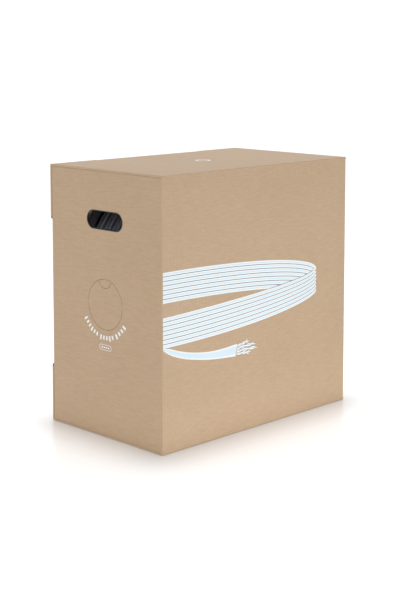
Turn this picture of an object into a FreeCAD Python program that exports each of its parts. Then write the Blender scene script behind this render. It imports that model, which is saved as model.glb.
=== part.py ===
import FreeCAD, Part
import math
import os
from FreeCAD import Vector

os.makedirs("parts", exist_ok=True)

# A corrugated carton that stores, carries and pays out network cable from a spool inside it.
# Frame: +X along the carton's long side, -Y is the printed front, +Z up, and the origin is on
# the floor at the middle of the outer box. All lengths are millimetres.

# Carton
LENGTH = 408.0
WIDTH = 245.0               # front face to back face, without the tabs glued on the back
HEIGHT = 400.0
BOARD = 3.2                 # single-wall board

# Closing tabs, dust flaps and the joint strip of the wrap
TAB_WIDTH = 90.0
TOP_TAB_REACH = 85.0        # from the carton's top down the back
BOTTOM_TAB_REACH = 90.0
TAB_CORNER = 4.0
CLOSURE_SETBACK = 5.0       # between the tabs, the top and bottom panels stop this much short
DUST_FLAP_LENGTH = 110.0
DUST_FLAP_CLEARANCE = 2.0
GLUE_FLAP_WIDTH = 38.0
GLUE_FLAP_END = 12.0        # distance from the panel's ends
GLUE_FLAP_TAPER = 10.0

# Hand holes and their plastic liners
HAND_HOLE_WIDTH = 79.5
HAND_HOLE_HEIGHT = 28.5
HAND_HOLE_Z = 325.0
LINER_WALL = 1.2
LINER_LIP = 7.5
LINER_LIP_THICKNESS = 1.6
LINER_DEPTH = BOARD + LINER_LIP_THICKNESS

# Cable outlet: a knock-out disc with a thumb tab, and a guide ring behind it
OUTLET_Z = 200.0
OUTLET_RADIUS = 38.0
CUT_GAP = 0.8
THUMB_TAB_RADIUS = 13.5
NICK_WIDTH = 2.4
NICK_CLEARANCE = 0.1
NICK_ROOT = 1.6             # how far a nick starts inside the disc's edge
RING_BORE = 42.0
RING_BODY = 46.0
RING_LIP = 54.0
RING_LIP_THICKNESS = 2.0
RING_DEPTH = 10.0
RING_ROUND = 1.8

# Axle and what holds it
AXLE_RADIUS = 12.7
AXLE_WALL = 1.5
AXLE_SEAT_CLEARANCE = 0.05
AXLE_END_PLAY = 0.1
PAD_SIZE = 100.0
PAD_THICKNESS = 6.4         # two layers of board
CUP_RADIUS = 17.0
CUP_FLOOR = 1.6
CUP_LIP_RADIUS = 30.0
CUP_LIP_THICKNESS = 2.4
CUP_COLLAR = 4.0

# Spool
SPOOL_Z = 200.0
FLANGE_RADIUS = 186.0
FLANGE_THICKNESS = 9.0
FLANGE_WEB = 4.0
FLANGE_RIM = 6.0
FLANGE_HUB_RADIUS = 34.0
FLANGE_RIBS = 8
RIB_WIDTH = 4.0
HALF_TRAVERSE = 94.5        # spool's middle to a flange's inner face
CORE_RADIUS = 119.9
CORE_WALL = 6.0
WINDING_INNER_RADIUS = 120.0
WINDING_OUTER_RADIUS = 178.0
WINDING_HALF_WIDTH = 93.0
BUSHING_RUNNING_CLEARANCE = 0.08
BUSHING_RADIUS = 17.0
BUSHING_SEAT_CLEARANCE = 0.05
BUSHING_SLEEVE = 13.5
BUSHING_LIP_RADIUS = 24.0
BUSHING_LIP_THICKNESS = 2.0

# Tie rods that clamp the flanges on the core
TIE_COUNT = 4
TIE_CIRCLE = 90.0
TIE_ROD_RADIUS = 3.0
TIE_HOLE_RADIUS = 3.2
TIE_BOSS_RADIUS = 11.0
TIE_THREAD_BEYOND_NUT = 0.9
NUT_ACROSS_FLATS = 10.0
NUT_THICKNESS = 5.0
NUT_BORE = 3.05
WASHER_RADIUS = 9.0
WASHER_THICKNESS = 1.6

# Places worked out from the sizes above
LEFT = -LENGTH / 2
RIGHT = LENGTH / 2
FRONT = -(WIDTH + BOARD) / 2
BACK = FRONT + WIDTH
TAB_FACE = BACK + BOARD
MIDDLE_Y = (FRONT + BACK) / 2
HALF_ROOM = WIDTH / 2 - BOARD       # middle plane to the inner face of the front or back panel

ALONG_X = Vector(1, 0, 0)
ALONG_Y = Vector(0, 1, 0)


def save(node, shape):
    shape.exportStep("parts/" + node + ".step")
    print(node, "volume", round(shape.Volume), "solids", len(shape.Solids))


def slab(x, y, z):
    """A block between two x, two y and two z values."""
    return Part.makeBox(x[1] - x[0], y[1] - y[0], z[1] - z[0], Vector(x[0], y[0], z[0]))


def round_bar(start, direction, radius, length):
    return Part.makeCylinder(radius, length, start, direction)


def tube(start, direction, outer, inner, length):
    return round_bar(start, direction, outer, length).cut(round_bar(start, direction, inner, length))


def pill_bar(x, z, width, height):
    """A bar along X with a full-round pill section on the carton's middle plane."""
    half_run = (width - height) / 2
    bar = slab(x, (MIDDLE_Y - half_run, MIDDLE_Y + half_run), (z - height / 2, z + height / 2))
    for side in (-1, 1):
        start = Vector(x[0], MIDDLE_Y + side * half_run, z)
        bar = bar.fuse(round_bar(start, ALONG_X, height / 2, x[1] - x[0]))
    return bar.removeSplitter()


def round_corners(shape, radius, direction, wanted):
    """Fillet the straight edges along a direction whose middle passes the wanted test."""
    edges = []
    for edge in shape.Edges:
        run = edge.valueAt(edge.LastParameter) - edge.valueAt(edge.FirstParameter)
        along = abs(run.normalize().dot(direction)) > 0.999
        if along and wanted(edge.CenterOfMass):
            edges.append(edge)
    return shape.makeFillet(radius, edges)


# ---- carton walls ----

def wall_panels():
    full_length = (LEFT, RIGHT)
    standing = (BOARD, HEIGHT - BOARD)
    save("front_panel", slab(full_length, (FRONT, FRONT + BOARD), standing))
    save("back_panel", slab(full_length, (BACK - BOARD, BACK), standing))

    between = (FRONT + BOARD, BACK - BOARD)
    end_height = (2 * BOARD, HEIGHT - 2 * BOARD)
    left_end = slab((LEFT, LEFT + BOARD), between, end_height)
    right_end = slab((RIGHT - BOARD, RIGHT), between, end_height)
    left_end = left_end.cut(pill_bar((LEFT, LEFT + BOARD), HAND_HOLE_Z, HAND_HOLE_WIDTH, HAND_HOLE_HEIGHT))
    right_end = right_end.cut(pill_bar((RIGHT - BOARD, RIGHT), HAND_HOLE_Z, HAND_HOLE_WIDTH, HAND_HOLE_HEIGHT))
    outlet = round_bar(Vector(LEFT, MIDDLE_Y, OUTLET_Z), ALONG_X, OUTLET_RADIUS, BOARD)
    save("left_end_panel", left_end.cut(outlet))
    save("right_end_panel", right_end)


def glue_flap():
    """The strip that closes the wrap: folded from the right end and glued inside the back."""
    x0 = RIGHT - BOARD - GLUE_FLAP_WIDTH
    x1 = RIGHT - BOARD
    y = BACK - 2 * BOARD
    corners = [
        Vector(x1, y, GLUE_FLAP_END),
        Vector(x0, y, GLUE_FLAP_END + GLUE_FLAP_TAPER),
        Vector(x0, y, HEIGHT - GLUE_FLAP_END - GLUE_FLAP_TAPER),
        Vector(x1, y, HEIGHT - GLUE_FLAP_END),
    ]
    outline = Part.makePolygon(corners + [corners[0]])
    save("glue_flap", Part.Face(outline).extrude(Vector(0, BOARD, 0)))


def closure_panel(z):
    """Top or bottom panel: it reaches over the tabs and is set back between them."""
    panel = slab((LEFT, RIGHT), (FRONT, TAB_FACE), z)
    gap = (LEFT + TAB_WIDTH, RIGHT - TAB_WIDTH)
    return panel.cut(slab(gap, (TAB_FACE - CLOSURE_SETBACK, TAB_FACE), z))


def closing_tabs(x, side):
    top_z = (HEIGHT - TOP_TAB_REACH, HEIGHT - BOARD)
    bottom_z = (BOARD, BOTTOM_TAB_REACH)
    top_tab = round_corners(slab(x, (BACK, TAB_FACE), top_z), TAB_CORNER, ALONG_Y,
                            lambda p: p.z < top_z[0] + 1)
    bottom_tab = round_corners(slab(x, (BACK, TAB_FACE), bottom_z), TAB_CORNER, ALONG_Y,
                               lambda p: p.z > bottom_z[1] - 1)
    save("top_tab_" + side, top_tab)
    save("bottom_tab_" + side, bottom_tab)


def dust_flaps(x, free_x, side):
    y = (FRONT + BOARD + DUST_FLAP_CLEARANCE, BACK - BOARD - DUST_FLAP_CLEARANCE)
    levels = {"bottom": (BOARD, 2 * BOARD), "top": (HEIGHT - 2 * BOARD, HEIGHT - BOARD)}
    for level, z in levels.items():
        flap = round_corners(slab(x, y, z), TAB_CORNER, Vector(0, 0, 1),
                             lambda p: abs(p.x - free_x) < 1)
        save(level + "_dust_flap_" + side, flap)


# ---- hand holes and cable outlet ----

def handle_liner(outer_x, inward):
    """Plastic grommet that lines a hand hole, with a lip glued on the board's inner face."""
    def span(near, far):
        return tuple(sorted((outer_x + inward * near, outer_x + inward * far)))
    sleeve = pill_bar(span(0, LINER_DEPTH), HAND_HOLE_Z, HAND_HOLE_WIDTH, HAND_HOLE_HEIGHT)
    lip = pill_bar(span(BOARD, BOARD + LINER_LIP_THICKNESS), HAND_HOLE_Z,
                   HAND_HOLE_WIDTH + 2 * LINER_LIP, HAND_HOLE_HEIGHT + 2 * LINER_LIP)
    finger_way = pill_bar(span(0, LINER_DEPTH), HAND_HOLE_Z,
                          HAND_HOLE_WIDTH - 2 * LINER_WALL, HAND_HOLE_HEIGHT - 2 * LINER_WALL)
    return sleeve.fuse(lip).cut(finger_way).removeSplitter()


def outlet_parts():
    centre = Vector(LEFT, MIDDLE_Y, OUTLET_Z)
    thumb_centre = Vector(LEFT, MIDDLE_Y, OUTLET_Z + OUTLET_RADIUS)
    board_x = (LEFT, LEFT + BOARD)
    disc_radius = OUTLET_RADIUS - CUT_GAP
    nick_reach = OUTLET_RADIUS - NICK_CLEARANCE
    half_nick = NICK_WIDTH / 2
    nick_start = disc_radius - NICK_ROOT

    disc = round_bar(centre, ALONG_X, disc_radius, BOARD)
    disc = disc.cut(round_bar(thumb_centre, ALONG_X, THUMB_TAB_RADIUS + CUT_GAP, BOARD))
    across = (MIDDLE_Y - half_nick, MIDDLE_Y + half_nick)
    for side in (-1, 1):
        y = sorted((MIDDLE_Y + side * nick_start, MIDDLE_Y + side * nick_reach))
        disc = disc.fuse(slab(board_x, y, (OUTLET_Z - half_nick, OUTLET_Z + half_nick)))
    disc = disc.fuse(slab(board_x, across, (OUTLET_Z - nick_reach, OUTLET_Z - nick_start)))
    save("outlet_knockout_disc", disc.removeSplitter())

    thumb = round_bar(thumb_centre, ALONG_X, THUMB_TAB_RADIUS, BOARD)
    thumb = thumb.common(round_bar(centre, ALONG_X, disc_radius, BOARD))
    thumb = thumb.fuse(slab(board_x, across, (OUTLET_Z + nick_start, OUTLET_Z + nick_reach)))
    save("outlet_thumb_tab", thumb.removeSplitter())


def outlet_ring():
    """Moulded guide glued behind the outlet, so that the jacket never rubs on raw board."""
    start = Vector(LEFT + BOARD, MIDDLE_Y, OUTLET_Z)
    ring = tube(start, ALONG_X, RING_LIP, RING_BORE, RING_LIP_THICKNESS)
    ring = ring.fuse(tube(start, ALONG_X, RING_BODY, RING_BORE, RING_DEPTH)).removeSplitter()
    mouth_x = LEFT + BOARD + RING_DEPTH
    mouth = [edge for edge in ring.Edges if abs(edge.BoundBox.XMin - mouth_x) < 0.01]
    save("outlet_ring", ring.makeFillet(RING_ROUND, mouth))


# ---- axle ----

def axle_parts():
    """Everything is laid out from the carton's middle plane: side is -1 at the front, 1 at the back."""
    def at(distance, side):
        return Vector(0, MIDDLE_Y + side * distance, SPOOL_Z)

    pad_face = HALF_ROOM - PAD_THICKNESS
    for name, side in (("front", -1), ("back", 1)):
        outward = Vector(0, side, 0)
        pad_y = sorted((MIDDLE_Y + side * pad_face, MIDDLE_Y + side * HALF_ROOM))
        pad = slab((-PAD_SIZE / 2, PAD_SIZE / 2), pad_y, (SPOOL_Z - PAD_SIZE / 2, SPOOL_Z + PAD_SIZE / 2))
        save(name + "_axle_pad", pad.cut(round_bar(at(pad_face, side), outward, CUP_RADIUS, PAD_THICKNESS)))

        collar_start = pad_face - CUP_LIP_THICKNESS - CUP_COLLAR
        cup = round_bar(at(collar_start, side), outward, CUP_RADIUS, HALF_ROOM - collar_start)
        lip_start = at(pad_face - CUP_LIP_THICKNESS, side)
        cup = cup.fuse(round_bar(lip_start, outward, CUP_LIP_RADIUS, CUP_LIP_THICKNESS))
        socket_depth = HALF_ROOM - CUP_FLOOR - collar_start
        seat = round_bar(at(collar_start, side), outward, AXLE_RADIUS + AXLE_SEAT_CLEARANCE, socket_depth)
        save(name + "_axle_cup", cup.cut(seat).removeSplitter())

    half_axle = HALF_ROOM - CUP_FLOOR - AXLE_END_PLAY
    save("axle_tube", tube(at(half_axle, -1), ALONG_Y, AXLE_RADIUS, AXLE_RADIUS - AXLE_WALL, 2 * half_axle))


# ---- spool ----

def tie_places():
    """Each tie rod's x and z, on the ribs at 45 degrees."""
    places = []
    for index in range(TIE_COUNT):
        angle = math.radians(45 + 360 / TIE_COUNT * index)
        places.append((TIE_CIRCLE * math.cos(angle), SPOOL_Z + TIE_CIRCLE * math.sin(angle)))
    return places


def spool_flange(side):
    """Moulded disc: flat web towards the cable, rim, hub, bosses and ribs on the outside."""
    outward = Vector(0, side, 0)
    face = MIDDLE_Y + side * HALF_TRAVERSE
    centre = Vector(0, face, SPOOL_Z)
    flange = round_bar(centre, outward, FLANGE_RADIUS, FLANGE_WEB)
    flange = flange.fuse(tube(centre, outward, FLANGE_RADIUS, FLANGE_RADIUS - FLANGE_RIM, FLANGE_THICKNESS))
    flange = flange.fuse(round_bar(centre, outward, FLANGE_HUB_RADIUS, FLANGE_THICKNESS))
    for x, z in tie_places():
        flange = flange.fuse(round_bar(Vector(x, face, z), outward, TIE_BOSS_RADIUS, FLANGE_THICKNESS))
    rib_y = sorted((face, face + side * FLANGE_THICKNESS))
    rib_start = FLANGE_HUB_RADIUS - RIB_WIDTH
    rib_end = FLANGE_RADIUS - FLANGE_RIM / 2
    for index in range(FLANGE_RIBS):
        rib = slab((rib_start, rib_end), rib_y, (SPOOL_Z - RIB_WIDTH / 2, SPOOL_Z + RIB_WIDTH / 2))
        rib.rotate(Vector(0, face, SPOOL_Z), ALONG_Y, 360 / FLANGE_RIBS * index)
        flange = flange.fuse(rib)
    bore = round_bar(centre, outward, BUSHING_RADIUS + BUSHING_SEAT_CLEARANCE, FLANGE_THICKNESS)
    flange = flange.cut(bore)
    for x, z in tie_places():
        flange = flange.cut(round_bar(Vector(x, face, z), outward, TIE_HOLE_RADIUS, FLANGE_THICKNESS))
    return flange.removeSplitter()


def spool_bushing(side):
    """Plain bearing in a flange's hub; its lip faces the axle cup."""
    outward = Vector(0, side, 0)
    outer_face = HALF_TRAVERSE + FLANGE_THICKNESS
    sleeve_start = Vector(0, MIDDLE_Y + side * (outer_face - BUSHING_SLEEVE), SPOOL_Z)
    lip_start = Vector(0, MIDDLE_Y + side * outer_face, SPOOL_Z)
    bushing = round_bar(sleeve_start, outward, BUSHING_RADIUS, BUSHING_SLEEVE)
    bushing = bushing.fuse(round_bar(lip_start, outward, BUSHING_LIP_RADIUS, BUSHING_LIP_THICKNESS))
    bore_radius = AXLE_RADIUS + BUSHING_RUNNING_CLEARANCE
    bore_length = BUSHING_SLEEVE + BUSHING_LIP_THICKNESS
    return bushing.cut(round_bar(sleeve_start, outward, bore_radius, bore_length)).removeSplitter()


def hex_nut(x, z, side, start):
    """A nut whose inner face is this far from the middle plane."""
    y = MIDDLE_Y + side * start
    corner_radius = NUT_ACROSS_FLATS / math.sqrt(3)
    corners = []
    for index in range(7):
        angle = math.radians(60 * index)
        corners.append(Vector(x + corner_radius * math.cos(angle), y, z + corner_radius * math.sin(angle)))
    body = Part.Face(Part.makePolygon(corners)).extrude(Vector(0, side * NUT_THICKNESS, 0))
    return body.cut(round_bar(Vector(x, y, z), Vector(0, side, 0), NUT_BORE, NUT_THICKNESS))


def tie_hardware():
    flange_face = HALF_TRAVERSE + FLANGE_THICKNESS
    nut_face = flange_face + WASHER_THICKNESS
    half_rod = nut_face + NUT_THICKNESS + TIE_THREAD_BEYOND_NUT
    rods = []
    nuts = []
    washers = []
    for x, z in tie_places():
        rods.append(round_bar(Vector(x, MIDDLE_Y - half_rod, z), ALONG_Y, TIE_ROD_RADIUS, 2 * half_rod))
        for side in (-1, 1):
            nuts.append(hex_nut(x, z, side, nut_face))
            start = Vector(x, MIDDLE_Y + side * flange_face, z)
            washers.append(tube(start, Vector(0, side, 0), WASHER_RADIUS, TIE_HOLE_RADIUS, WASHER_THICKNESS))
    save("tie_rods", Part.makeCompound(rods))
    save("tie_nuts", Part.makeCompound(nuts))
    save("tie_washers", Part.makeCompound(washers))


def spool_parts():
    for name, side in (("front", -1), ("back", 1)):
        save("spool_flange_" + name, spool_flange(side))
        save("spool_bushing_" + name, spool_bushing(side))
    core_start = Vector(0, MIDDLE_Y - HALF_TRAVERSE, SPOOL_Z)
    save("spool_core", tube(core_start, ALONG_Y, CORE_RADIUS, CORE_RADIUS - CORE_WALL, 2 * HALF_TRAVERSE))
    winding_start = Vector(0, MIDDLE_Y - WINDING_HALF_WIDTH, SPOOL_Z)
    save("cable_winding", tube(winding_start, ALONG_Y, WINDING_OUTER_RADIUS, WINDING_INNER_RADIUS,
                               2 * WINDING_HALF_WIDTH))
    tie_hardware()


wall_panels()
glue_flap()
save("top_panel", closure_panel((HEIGHT - BOARD, HEIGHT)))
save("bottom_panel", closure_panel((0, BOARD)))
closing_tabs((LEFT, LEFT + TAB_WIDTH), "left")
closing_tabs((RIGHT - TAB_WIDTH, RIGHT), "right")
dust_flaps((LEFT, LEFT + DUST_FLAP_LENGTH), LEFT + DUST_FLAP_LENGTH, "left")
dust_flaps((RIGHT - DUST_FLAP_LENGTH, RIGHT), RIGHT - DUST_FLAP_LENGTH, "right")
save("left_handle_liner", handle_liner(LEFT, 1))
save("right_handle_liner", handle_liner(RIGHT, -1))
outlet_parts()
outlet_ring()
axle_parts()
spool_parts()
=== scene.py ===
import math
import bmesh
import bpy
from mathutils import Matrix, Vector
from mathutils.geometry import tessellate_polygon


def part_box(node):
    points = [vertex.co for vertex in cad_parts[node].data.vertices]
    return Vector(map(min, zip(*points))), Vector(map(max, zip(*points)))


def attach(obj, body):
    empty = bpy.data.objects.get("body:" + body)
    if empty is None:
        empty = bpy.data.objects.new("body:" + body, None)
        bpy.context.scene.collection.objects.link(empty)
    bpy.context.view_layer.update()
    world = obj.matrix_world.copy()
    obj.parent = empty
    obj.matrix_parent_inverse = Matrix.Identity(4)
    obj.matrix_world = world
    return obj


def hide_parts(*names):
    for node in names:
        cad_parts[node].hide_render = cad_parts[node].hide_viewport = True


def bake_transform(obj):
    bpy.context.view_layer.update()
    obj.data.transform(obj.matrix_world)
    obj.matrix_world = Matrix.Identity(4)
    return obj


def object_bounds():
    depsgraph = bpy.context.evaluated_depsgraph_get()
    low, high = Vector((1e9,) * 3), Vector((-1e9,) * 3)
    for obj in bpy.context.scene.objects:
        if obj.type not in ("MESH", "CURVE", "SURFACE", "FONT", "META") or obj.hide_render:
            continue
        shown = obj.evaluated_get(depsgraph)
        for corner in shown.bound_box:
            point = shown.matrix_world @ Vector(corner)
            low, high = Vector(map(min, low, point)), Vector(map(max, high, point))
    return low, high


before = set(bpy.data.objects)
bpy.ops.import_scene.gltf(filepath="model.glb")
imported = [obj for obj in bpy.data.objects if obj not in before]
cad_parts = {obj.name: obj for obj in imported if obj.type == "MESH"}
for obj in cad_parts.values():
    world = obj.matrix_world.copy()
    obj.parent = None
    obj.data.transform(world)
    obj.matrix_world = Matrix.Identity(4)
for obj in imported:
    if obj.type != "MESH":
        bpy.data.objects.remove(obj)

cad_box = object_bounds()

# ---- Studio ----
# A white sweep with a slightly glossy floor, so that the carton stands on a soft shadow, partly painted into the
# floor's glow, and a faint reflection of itself. One large soft lamp overhead, low strips in front and on the left,
# and a small lamp inside the carton that shows the cable through the hand hole.

CAMERA_PLACE = (-1.4215, -1.4172, 0.5911)
CAMERA_HEADING = 44.99          # degrees from +X towards +Y
CAMERA_DIP = 5.64
LENS = 77.01
VIEW_SHIFT = -0.226

camera_data = bpy.data.cameras.new("camera")
camera_data.lens = LENS
camera_data.shift_y = VIEW_SHIFT
camera = bpy.data.objects.new("camera", camera_data)
camera.location = CAMERA_PLACE
camera.rotation_euler = (math.radians(90 - CAMERA_DIP), 0, math.radians(CAMERA_HEADING - 90))
bpy.context.scene.collection.objects.link(camera)
bpy.context.scene.camera = camera
bpy.context.scene.view_settings.view_transform = "Standard"

HORIZON = (1.0, 1.0, 1.0, 1)
ZENITH = (0.50, 0.51, 0.53, 1)
sky = bpy.data.worlds.new("white_sweep")
sky.use_nodes = True
sky_tree = sky.node_tree
heading = sky_tree.nodes.new("ShaderNodeTexCoord").outputs["Generated"]
height = sky_tree.nodes.new("ShaderNodeSeparateXYZ")
sky_tree.links.new(heading, height.inputs[0])
fade = sky_tree.nodes.new("ShaderNodeMapRange")
fade.interpolation_type = "SMOOTHSTEP"
fade.inputs["From Min"].default_value = 0.20
fade.inputs["From Max"].default_value = 0.85
sky_tree.links.new(height.outputs["Z"], fade.inputs["Value"])
shade = sky_tree.nodes.new("ShaderNodeMix")
shade.data_type = "RGBA"
shade.inputs[6].default_value = HORIZON
shade.inputs[7].default_value = ZENITH
sky_tree.links.new(fade.outputs[0], shade.inputs[0])
sky_tree.links.new(shade.outputs[2], sky_tree.nodes["Background"].inputs["Color"])
bpy.context.scene.world = sky


def softbox(name, place, aim, width, height, power):
    lamp_data = bpy.data.lights.new(name, "AREA")
    lamp_data.shape = "RECTANGLE"
    lamp_data.size = width
    lamp_data.size_y = height
    lamp_data.energy = power
    lamp = bpy.data.objects.new(name, lamp_data)
    lamp.location = place
    lamp.rotation_euler = (Vector(aim) - Vector(place)).to_track_quat("-Z", "Y").to_euler()
    lamp.visible_camera = False
    bpy.context.scene.collection.objects.link(lamp)
    return lamp


softbox("overhead_softbox", (0.25, 0.3, 2.3), (0, 0, 0.2), 0.9, 0.9, 18)
softbox("front_strip", (0.0, -0.72, 0.07), (0, -0.1, 0.07), 0.9, 0.08, 1.0)
softbox("left_strip", (-0.85, 0.0, 0.07), (-0.2, 0, 0.07), 0.6, 0.08, 0.3)
softbox("hand_hole_fill", (-0.187, 0.026, 0.263), (-0.153, 0.026, 0.287), 0.08, 0.008, 0.13)
foot_lamps = [softbox("front_foot_strip", (0.0, -0.20, 0.012), (0, -0.1, 0.012), 0.5, 0.01, 0.048),
              softbox("left_foot_strip", (-0.28, 0.0, 0.012), (-0.2, 0, 0.012), 0.3, 0.01, 0.016)]

FLOOR_HALF = 6.0
floor_mesh = bpy.data.meshes.new("studio_floor")
floor_mesh.from_pydata(
    [(-FLOOR_HALF, -FLOOR_HALF, 0), (FLOOR_HALF, -FLOOR_HALF, 0),
     (FLOOR_HALF, FLOOR_HALF, 0), (-FLOOR_HALF, FLOOR_HALF, 0)], [], [(0, 1, 2, 3)])
studio_floor = bpy.data.objects.new("studio_floor", floor_mesh)
studio_floor.location = (0, 0, -0.0002)
bpy.context.scene.collection.objects.link(studio_floor)
floor_finish = bpy.data.materials.new("white_floor")
floor_finish.use_nodes = True
floor_shader = floor_finish.node_tree.nodes["Principled BSDF"]
floor_shader.inputs["Base Color"].default_value = (0.9, 0.9, 0.9, 1)
floor_shader.inputs["Roughness"].default_value = 0.25
floor_shader.inputs["Specular IOR Level"].default_value = 1.0
floor_shader.inputs["Emission Color"].default_value = (1, 1, 1, 1)
# The floor glows as well, but the glow fades out close round the carton's footprint: a painted contact shadow, so
# that the carton looks set down.
FLOOR_GLOW = 0.36
PAINTED_SHADOW_REACH = 0.09              # from the carton's foot
floor_tree = floor_finish.node_tree
foot = floor_tree.nodes.new("ShaderNodeTexCoord").outputs["Object"]
beyond = floor_tree.nodes.new("ShaderNodeVectorMath")
beyond.operation = "ABSOLUTE"
floor_tree.links.new(foot, beyond.inputs[0])
outside = floor_tree.nodes.new("ShaderNodeVectorMath")
outside.operation = "SUBTRACT"
outside.inputs[1].default_value = (cad_box[1][0], cad_box[1][1], 1.0)
floor_tree.links.new(beyond.outputs[0], outside.inputs[0])
clear = floor_tree.nodes.new("ShaderNodeVectorMath")
clear.operation = "MAXIMUM"
clear.inputs[1].default_value = (0, 0, 0)
floor_tree.links.new(outside.outputs[0], clear.inputs[0])
distance = floor_tree.nodes.new("ShaderNodeVectorMath")
distance.operation = "LENGTH"
floor_tree.links.new(clear.outputs[0], distance.inputs[0])
# Painted shadow: the floor's glow fades to nothing towards the carton's footprint.
glow_with_painted_shadow = floor_tree.nodes.new("ShaderNodeMapRange")
glow_with_painted_shadow.interpolation_type = "SMOOTHSTEP"
glow_with_painted_shadow.inputs["From Min"].default_value = -PAINTED_SHADOW_REACH * 0.45
glow_with_painted_shadow.inputs["From Max"].default_value = PAINTED_SHADOW_REACH
glow_with_painted_shadow.inputs["To Max"].default_value = FLOOR_GLOW
floor_tree.links.new(distance.outputs["Value"], glow_with_painted_shadow.inputs["Value"])
floor_tree.links.new(glow_with_painted_shadow.outputs[0], floor_shader.inputs["Emission Strength"])
floor_mesh.materials.append(floor_finish)
# The foot strips are flagged off the floor: they lift the foot of the walls and leave the floor's shadow, real and
# painted, alone.
floor_flag = bpy.data.collections.new("floor_flag")
floor_flag.objects.link(studio_floor)
floor_flag.collection_objects[0].light_linking.link_state = "EXCLUDE"
for lamp in foot_lamps:
    lamp.light_linking.receiver_collection = floor_flag

# ---- Kraft board ----
# Single-wall corrugated board: two brown kraft liners and a fluted sheet between them, 6.5 mm a flute.
# The liner has long fibres, fine flecks and the faint washboard that the flutes print through it; a cut
# edge shows the liners as two pale lines with the darker fluting between them.

FLUTE_PITCH = 0.0065
LINER = 0.00032
FLUTE_SHEET = 0.00026
PRESSED_DEPTH = 0.00035
PAPER_SKIN = 0.0001             # how far the liner lies inside the carton's nominal face
KRAFT_COLOUR = (0.455, 0.315, 0.194, 1)
KRAFT_DARK = (0.360, 0.243, 0.140, 1)
KRAFT_LIGHT = (0.540, 0.390, 0.255, 1)
FLECK_COLOUR = (0.30, 0.19, 0.11, 1)
EDGE_COLOUR = (0.35, 0.25, 0.16, 1)


def wire(tree, kind, *by_place, **by_name):
    """Add a node; a socket given as a value is linked, anything else is set."""
    made = tree.nodes.new(kind)
    values = list(enumerate(by_place)) + [(key.replace("_", " "), value) for key, value in by_name.items()]
    for key, value in values:
        if isinstance(value, bpy.types.NodeSocket):
            tree.links.new(value, made.inputs[key])
        elif value is not None:
            made.inputs[key].default_value = value
    return made


def calc(tree, operation, *values):
    made = wire(tree, "ShaderNodeMath", *values)
    made.operation = operation
    return made.outputs[0]


def mixed(tree, share, first, second):
    made = tree.nodes.new("ShaderNodeMix")
    made.data_type = "RGBA"
    for place, value in ((0, share), (6, first), (7, second)):
        if isinstance(value, bpy.types.NodeSocket):
            tree.links.new(value, made.inputs[place])
        else:
            made.inputs[place].default_value = value
    return made.outputs[2]


def ranged(tree, value, low, high, new_low, new_high):
    made = wire(tree, "ShaderNodeMapRange", value, low, high, new_low, new_high)
    return made.outputs[0]


def new_finish(name):
    finish = bpy.data.materials.new(name)
    finish.use_nodes = True
    return finish, finish.node_tree, finish.node_tree.nodes["Principled BSDF"]


def stretched(tree, scales):
    """Object coordinates with their own scale along each axis."""
    place = tree.nodes.new("ShaderNodeTexCoord").outputs["Object"]
    return wire(tree, "ShaderNodeMapping", Vector=place, Scale=scales).outputs[0]


def washboard(tree, across):
    """The flutes' print-through: a wave along one axis, 0 (X) or 1 (Y)."""
    place = tree.nodes.new("ShaderNodeTexCoord").outputs["Object"]
    along = wire(tree, "ShaderNodeSeparateXYZ", place).outputs[across]
    turn = calc(tree, "MULTIPLY", along, 2 * math.pi / FLUTE_PITCH)
    return calc(tree, "SINE", turn)


def kraft_finish(name, across):
    """Kraft liner whose flutes are crossed along X (0) or along Y (1)."""
    finish, tree, shader = new_finish(name)
    fibre_scale = [620, 620, 620]
    fibre_scale[across] = 55
    fibres = wire(tree, "ShaderNodeTexNoise", Vector=stretched(tree, fibre_scale), Scale=1.0, Detail=4.0,
                  Roughness=0.65).outputs["Fac"]
    cloud = wire(tree, "ShaderNodeTexNoise", Vector=stretched(tree, (9, 9, 9)), Scale=1.0, Detail=5.0,
                 Roughness=0.6).outputs["Fac"]
    pulp = wire(tree, "ShaderNodeTexNoise", Vector=stretched(tree, (260, 260, 260)), Scale=1.0, Detail=3.0,
                Roughness=0.7).outputs["Fac"]
    fleck = wire(tree, "ShaderNodeTexVoronoi", Vector=stretched(tree, (420, 420, 420)), Scale=1.0,
                 Randomness=1.0).outputs["Distance"]
    wave = washboard(tree, across)

    colour = mixed(tree, ranged(tree, fibres, 0.34, 0.66, 0.0, 1.0), KRAFT_DARK, KRAFT_LIGHT)
    colour = mixed(tree, 0.72, colour, KRAFT_COLOUR)
    colour = mixed(tree, ranged(tree, pulp, 0.35, 0.7, 0.0, 0.22), colour, KRAFT_LIGHT)
    colour = mixed(tree, ranged(tree, cloud, 0.40, 0.72, 0.0, 0.16), colour, KRAFT_DARK)
    colour = mixed(tree, ranged(tree, wave, -1.0, 1.0, 0.0, 0.05), colour, KRAFT_DARK)
    colour = mixed(tree, ranged(tree, fleck, 0.10, 0.22, 0.5, 0.0), colour, FLECK_COLOUR)
    tree.links.new(colour, shader.inputs["Base Color"])
    tree.links.new(ranged(tree, fibres, 0.3, 0.7, 0.62, 0.50), shader.inputs["Roughness"])
    shader.inputs["Specular IOR Level"].default_value = 0.5

    relief = calc(tree, "MULTIPLY_ADD", wave, 0.30, fibres)
    relief = calc(tree, "MULTIPLY_ADD", pulp, 0.6, relief)
    bump = wire(tree, "ShaderNodeBump", Height=relief, Strength=0.5, Distance=0.00012)
    tree.links.new(bump.outputs[0], shader.inputs["Normal"])
    return finish


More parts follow.
